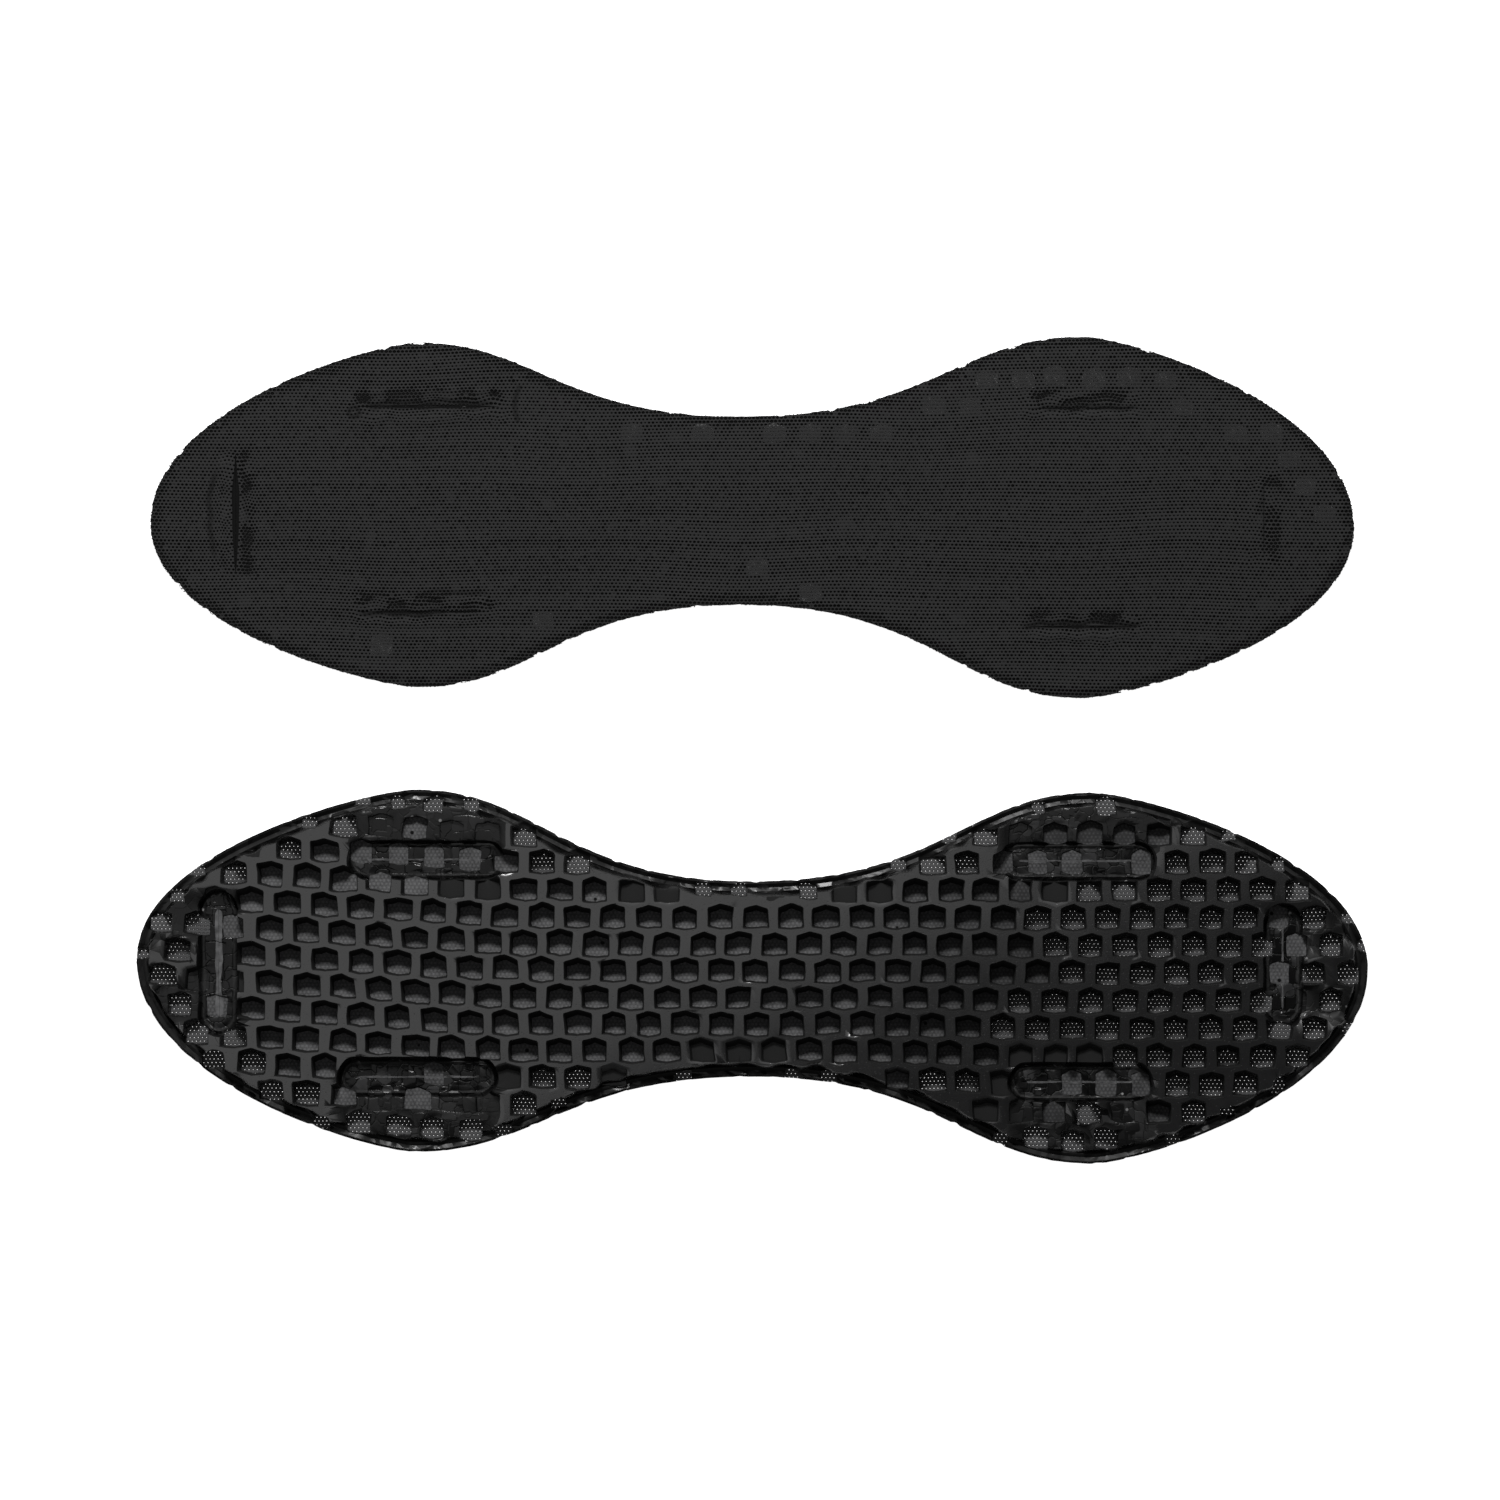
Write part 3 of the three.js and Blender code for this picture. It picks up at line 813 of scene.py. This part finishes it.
def pressed_gel():
    """Pressed gel and cell walls: glossy and near black, in flat patches with creases between."""
    m = Material("gel_pressed", Roughness=0.2, Specular_IOR_Level=0.12)
    pressed = m.node("Attribute", attribute_name="pressed").outputs["Fac"]
    lip = m.node("Attribute", attribute_name="lip").outputs["Fac"]
    drift = m.node("TexNoise", {"Vector": m.place(), "Scale": 1 / (5 * MM)}).outputs["Color"]
    bend = m.node("VectorMath", {0: drift, 1: (1.6 * MM,) * 3}, operation="MULTIPLY").outputs[0]
    at = m.node("VectorMath", {0: m.place(), 1: bend}, operation="ADD").outputs[0]
    squares = {"distance": "CHEBYCHEV"}
    near = m.node("TexVoronoi", {"Vector": at, "Scale": 1 / (3.4 * MM)}, feature="F1", **squares)
    second = m.node("TexVoronoi", {"Vector": at, "Scale": 1 / (3.4 * MM)}, feature="F2", **squares)
    apart = m.math("SUBTRACT", second.outputs["Distance"], near.outputs["Distance"])
    crease = m.ramp(apart, (0.0, 0.0), (0.09, 1.0))
    patch = m.node("SeparateColor", {0: near.outputs["Color"]}).outputs
    tone = m.ramp(patch["Red"], (0.0, 0.0022), (0.55, 0.004), (0.78, 0.012), (1.0, 0.03))
    # Painted shade: the creases between the patches are near black.
    tone = m.mix(pressed, grey(0.011), m.mix(crease, grey(0.001), tone))
    # Painted glints: small bright specks in the colour of the pressed gel, away from its calm rim.
    painted_glint = m.ramp(m.dots(4.2), (0.07, 1.0), (0.1, 0.0))
    painted_glint = m.math("MULTIPLY", painted_glint, m.math("GREATER_THAN", m.noise(6, 0.0), 0.52))
    calm = m.node("Attribute", attribute_name="calm").outputs["Fac"]
    rough = m.math("SUBTRACT", pressed, calm)
    painted_glint = m.math("MULTIPLY", painted_glint, rough)
    tone = m.mix(calm, tone, grey(0.0035))
    # Painted highlight: lighter along the lips.
    tone = m.mix(lip, tone, grey(0.03))
    m.link("Base Color", m.mix(painted_glint, tone, grey(0.3)))
    shine = m.math("MULTIPLY_ADD", patch["Green"], 0.35, 0.12)
    m.link("Roughness", m.math("MAXIMUM", shine, m.math("MULTIPLY_ADD", pressed, -1.5, 0.7)))
    normal = m.bump(m.math("MULTIPLY", crease, rough), 0.6, 0.15)
    m.link("Normal", m.bump(m.math("MULTIPLY", m.noise(1.1, 3.0, distortion=0.4), rough), 0.4, 0.1, normal))
    return m.material


def film_gel():
    """The film over the knit at the bottom of a sealed cell, speckled by the knit under it."""
    m = Material("gel_film", Roughness=0.6, Specular_IOR_Level=0.02)
    fine, coarse = m.noise(0.28, 2.0), m.noise(2.5, 2.0)
    speck = m.math("ADD", m.math("MULTIPLY", fine, 0.5), m.math("MULTIPLY", coarse, 0.4))
    parts = m.node("SeparateXYZ", {0: m.place()}).outputs
    along = m.math("MULTIPLY", parts["X"], 2 * math.pi / (KNIT_B["pitch"] * MM))
    across = m.math("MULTIPLY", parts["Y"], math.pi / (KNIT_B["rows"] * MM))
    speck = m.math("ADD", speck, m.math("MULTIPLY", hole_dots(m, along, across), 0.28))
    # Painted shade: darker along pad B's right half, up to the open cells, where the light is weaker.
    fade = m.ramp(m.math("MULTIPLY", parts["X"], 10.0), (0.1, 1.0), (0.6, 0.5), (0.9, 0.5), (1.0, 1.0))
    pressed = m.node("Attribute", attribute_name="pressed").outputs["Fac"]
    speck = m.math("MULTIPLY", speck, m.math("MAXIMUM", fade, m.math("MULTIPLY", pressed, 0.9)))
    speck = m.math("MULTIPLY", speck, m.math("MULTIPLY_ADD", pressed, -0.25, 0.97))
    # Painted shade: a few near-black pin dots, where holes in the knit show the shade under the pad.
    holes = m.ramp(m.dots(6.5), (0.055, 0.0), (0.08, 1.0))
    tone = m.ramp(speck, (0.22, 0.035), (0.78, 0.18))
    m.link("Base Color", m.mix(holes, grey(0.006), tone))
    m.link("Normal", m.bump(speck, 0.5, 0.1))
    return m.material


def backlight_painted_gel():
    """A thin film, seen through the cover, painted pale with the light that comes up from below."""
    return Material("gel_painted_backlight", Roughness=0.5, Base_Color=grey(0.075)).material


def pale_slit_gel():
    """Gel painted paler in a strip along a slit."""
    m = Material("gel_pale_slit", Roughness=0.7, Specular_IOR_Level=0.1)
    m.link("Base Color", m.ramp(m.noise(1.6, 2.0), (0.3, 0.06), (0.7, 0.14)))
    return m.material


def dull_gel():
    """The bonded side, which only shows through the holes and slits of the cover."""
    m = Material("gel_bonded_side", Roughness=0.7, Specular_IOR_Level=0.06, Base_Color=grey(0.002))
    return m.material


KNIT_FACE = knit_material("knit_face", 0.003, 0.0182)
KNIT_BACK = knit_material("knit_back", 0.03, 0.085)
GEL = [satin_gel(), pressed_gel(), film_gel(), backlight_painted_gel(), dull_gel(), pale_slit_gel()]

# ---------------------------------------------------------------- building the pads

pad_a, pad_b = Pad("pad_a"), Pad("pad_b")


def kinds_b(x, y, edge, field, press, chance):
    """What closes each cell of pad B."""
    lobe = np.abs(x) > WAIST_END
    kind = np.where(x > OPEN_FROM + 4 * ripples(x, y, 20, SEED), OPEN, FILMED)
    kind = np.where(lobe & (edge < np.where(y > 0, 7.5, 10.5)) | (x < LEFT_TIP), OPEN, kind)
    kind = np.where(~lobe & (edge < 7) & (chance < 0.75), BLOCKED, kind)
    between = (edge + field < STRIP_REACH) & (field > 0) & (edge > 5.5)
    kind = np.where(between & (x > LEFT_TIP) & (x < RIGHT_TIP), np.where(chance < 0.3, BLOCKED, FILMED), kind)
    kind = np.where((field < 3.0) & (field > 0.2) & (chance < 0.35), BLOCKED, kind)
    kind = np.where(field < 0.2, np.where(chance < 0.55, FILMED, BLOCKED), kind)
    return np.where(edge < 3.4, np.where((chance < 0.62) & (edge > 0.0), OPEN, FLUSH), kind)


def kinds_a(x, y, edge, field, press, chance):
    """What closes each cell of pad A."""
    return np.where(edge < 3.0, FLUSH, BLOCKED)


def painted_light_b(x, y, edge, chance):
    """None of pad B's cells, which lie over its cover."""
    return np.zeros(len(x), bool)


def painted_light_a(x, y, edge, chance):
    """Cells of pad A painted pale with light from below, which shows through the cover: some along its edges.
    """
    top_edge = (y > 0) & (x > -35)
    low_edge = (y < 0) & (x < 25) & (x > -95)
    return (edge > 3.6) & (edge < 9.5) & ((top_edge & (chance < 0.75)) | (low_edge & (chance < 0.45)))


def gel_piece(name, pad, to_pad, kind_at, painted_light_at, base, flip):
    full = base - 0.02 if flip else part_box("pad_b_gel_honeycomb")[1].z / MM - base
    inset = GEL_A_INSET if flip else 0.0
    points, triangles, tags = gel_mesh(pad, to_pad, kind_at, painted_light_at, full, inset)
    edge = pad.edge(points[:, 0], points[:, 1])
    press = pad.pressed(points[:, 0], points[:, 1])
    field = pad.field(points[:, 0], points[:, 1])
    # lip marks a painted highlight: a thin light line along each field's lip and along the rim's inner rib.
    lip = np.exp(-(((field + 0.6) / 0.35) ** 2)) + 0.4 * np.exp(-(((edge - 2.3) / 0.4) ** 2)) * (field > 0)
    calm = press * (1 - smooth(2.4, 3.4, edge))
    for slit in pad.slits:
        points = slit.opened(points, slit.gel_gap, lean=LEAN[pad.name])
    points[:, 2] = base - points[:, 2] if flip else base + points[:, 2]
    if flip:
        triangles = triangles[:, ::-1]
    attributes = {"lip": lip, "pressed": press, "calm": calm}
    obj = piece(name, pad, points, triangles, tags, GEL, attributes=attributes)
    obj.data.set_sharp_from_angle(angle=math.radians(38))
    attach(obj, pad.name)
    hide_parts(f"{pad.name}_gel_honeycomb")
    return obj


def cover_piece(name, pad, knit, hole_size, warp, height, relief, material):
    points, triangles = cover_mesh(pad, knit, hole_size, warp, height, relief)
    # Painted shade: the knit darkens where the cover dips below its middle surface, in its creases and folds,
    # away from its edge.
    inner = pad.edge(points[:, 0], points[:, 1]) > COVER_EDGE
    shade = np.clip(-1.7 * (points[:, 2] - height) - 0.05, 0, 0.8) * inner
    obj = piece(
        name, pad, points, triangles, np.zeros(len(triangles)), [material], rows=points[:, 3:5],
        attributes={"shade": shade},
    )
    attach(obj, pad.name)
    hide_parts(f"{pad.name}_knit_cover")
    return obj


def holes_a(x, y):
    """Hole sizes of pad A's net: wider in clusters beside the slits and along the edge."""
    draw = np.random.default_rng(SEED + 7)
    size = 0.96 + 0.08 * ripples(x, y, 2.5, SEED + 8) + draw.normal(0, 0.12, x.shape)
    size = size + draw.normal(0, 0.08, x.shape[1])
    clusters = smooth(-0.5, 0.2, ripples(x, y, 8, SEED + 9))
    for slit in pad_a.slits:
        s, t = slit.place(x, y)
        beside = -t if slit.across else t
        band = np.exp(-(((beside - 2.2) / 1.9) ** 2)) * (1 - smooth(slit.half - 1, slit.half + 2, np.abs(s)))
        size = size + 1.0 * clusters * band
    size = size + 0.5 * (1 - smooth(1.4, 3.2, pad_a.edge(x, y)))
    worn = smooth(1.2, 1.6, ripples(x, y, 7, SEED + 10))
    size = np.where(draw.uniform(size=x.shape) < 0.012, 0.4, size * (1 - 0.5 * worn))
    return np.clip(size, 0.25, 1.65)


def holes_b(x, y):
    """Hole sizes of pad B's net: more open at the right end and along the rim."""
    draw = np.random.default_rng(SEED + 11)
    open_end = smooth(20, 90, x)
    open_rim = 1 - smooth(7, 13, pad_b.edge(x, y))
    size = 0.1 + 0.17 * np.maximum(open_end, open_rim) + 0.08 * smooth(12, 6, pad_b.edge(x, y))
    return np.clip(size * (1 + draw.normal(0, 0.06, x.shape)), 0.08, 0.7)


def warp_a(x, y):
    """Pad A's rows: nearly level, closer at the left, and puckered beside the slits."""
    pucker = near_slits(pad_a, x, y, 1.5, 1.8)
    moved_x = x + 0.25 * ripples(x, y, 45, SEED + 12) + 0.2 * pucker * ripples(x, y, 6, SEED + 13)
    moved_y = y * (1 + 0.00025 * x) + 0.3 * ripples(x, y, 50, SEED + 14)
    return moved_x, moved_y + 0.35 * pucker * ripples(x, y, 8, SEED + 15)


def warp_b(x, y):
    """Pad B's rows."""
    return x + 0.2 * ripples(x, y, 30, SEED + 16), y + 0.25 * ripples(x, y, 35, SEED + 17)


def relief_a(x, y, edge):
    """Heights of pad A's cover over its middle surface: a slight print of the cells, its folds,
    a curl past the end of one slit, a crease beside it and an edge that turns down."""
    height = 0.04 * ripples(x, y, 8, SEED + 18) - 0.3 * (1 - smooth(0, 2.5, edge))
    for slit in pad_a.slits:
        s, t = slit.place(x, y)
        for (start, end), across, bow, half, rise in FOLDS[slit.name]:
            ends = smooth(start - 1.5, start + 1.5, s) * (1 - smooth(end - 1.5, end + 1.5, s))
            middle = across + bow * (1 - ((2 * s - start - end) / (end - start)) ** 2)
            wave = 0.25 * ripples(s, 0 * s, 7, SEED + 23)
            height = height + rise * ends * np.exp(-(((t - middle - wave) / half) ** 2))
    s, t = next(slit for slit in pad_a.slits if slit.name == "left_top").place(x, y)
    ring = np.hypot(s + CURL["along"], t - CURL["across"])
    height = height - 0.4 * np.exp(-(((ring - CURL["radius"]) / 0.45) ** 2))
    beside = np.exp(-(((s - SIDE_CREASE["along"] - 0.06 * t * t) / 0.5) ** 2)) * (np.abs(t - 0.5) < 4)
    return np.clip(height - 0.4 * beside, -0.5, 0.28)


def relief_b(x, y, edge):
    """Heights of pad B's cover over its middle surface."""
    return 0.06 * ripples(x, y, 9, SEED + 19) - 0.05 * (1 - smooth(0, 2, edge))


gel_piece("pad_b_gel", pad_b, lattice_to_pad_b, kinds_b, painted_light_b, GEL_B_BASE, False)
gel_a = gel_piece("pad_a_gel", pad_a, lattice_to_pad_a, kinds_a, painted_light_a, GEL_A_BASE, True)
cover_piece(
    "pad_a_cover", pad_a, KNIT_A, holes_a, warp_a, NET_A_HEIGHT, relief_a, KNIT_FACE,
)
cover_piece(
    "pad_b_cover", pad_b, KNIT_B, holes_b, warp_b, NET_B_HEIGHT, relief_b, KNIT_BACK,
)

# ---------------------------------------------------------------- studio

# Metres and watts. The floor gives off light, so that it stays white close to the pads.
HALF_FLOOR = 3.0
FLOOR_GLOW = 0.97
WORLD_LIGHT = 0.135
KEY = {"place": (-0.1, 0.77, 0.87), "size": (0.32, 0.16), "power": 12.4}
OVERHEAD = {"place": (-0.066, 0.207, 0.2), "size": (0.75, 0.56), "power": 1.6, "turn": 23}

floor_mesh = bpy.data.meshes.new("floor")
corners = [(x * HALF_FLOOR, y * HALF_FLOOR, 0) for x, y in ((-1, -1), (1, -1), (1, 1), (-1, 1))]
floor_mesh.from_pydata(corners, [], [(0, 1, 2, 3)])
floor = bpy.data.objects.new("floor", floor_mesh)
bpy.context.scene.collection.objects.link(floor)
white = Material("floor_white", Roughness=0.9, Base_Color=grey(0.86), Specular_IOR_Level=0.1)
white.shader.inputs["Emission Color"].default_value = grey(1)
white.shader.inputs["Emission Strength"].default_value = FLOOR_GLOW
white.material.cycles.emission_sampling = "NONE"
floor_mesh.materials.append(white.material)

world = bpy.data.worlds.new("studio")
world.use_nodes = True
world.node_tree.nodes["Background"].inputs["Color"].default_value = grey(1)
world.node_tree.nodes["Background"].inputs["Strength"].default_value = WORLD_LIGHT
bpy.context.scene.world = world


def area_light(name, place, target, size, power):
    """A rectangular soft light aimed at a point, in metres."""
    data = bpy.data.lights.new(name, "AREA")
    data.shape, data.size, data.size_y, data.energy = "RECTANGLE", size[0], size[1], power
    lamp = bpy.data.objects.new(name, data)
    lamp.location = place
    lamp.rotation_euler = (Vector(target) - Vector(place)).to_track_quat("-Z", "Y").to_euler()
    lamp.visible_camera = False
    bpy.context.scene.collection.objects.link(lamp)
    return lamp


area_light("key", KEY["place"], (0, 0, 0), KEY["size"], KEY["power"])
below = (*OVERHEAD["place"][:2], 0)
overhead = area_light("overhead", OVERHEAD["place"], below, OVERHEAD["size"], OVERHEAD["power"])
overhead.rotation_euler.z = math.radians(OVERHEAD["turn"])
overhead.visible_diffuse = False  # it only shines on glossy gel

camera_data = bpy.data.cameras.new("camera")
camera = bpy.data.objects.new("camera", camera_data)
bpy.context.scene.collection.objects.link(camera)
bpy.context.scene.camera = camera
VIEW_WIDTH = 0.3415  # metres across the picture
camera_data.lens, camera_data.sensor_width = 150, 36
camera.location = (-0.0005, 0.0001, VIEW_WIDTH * camera_data.lens / camera_data.sensor_width)
camera_data.clip_start, camera_data.clip_end = 0.05, 10
bpy.context.scene.view_settings.view_transform = "Standard"
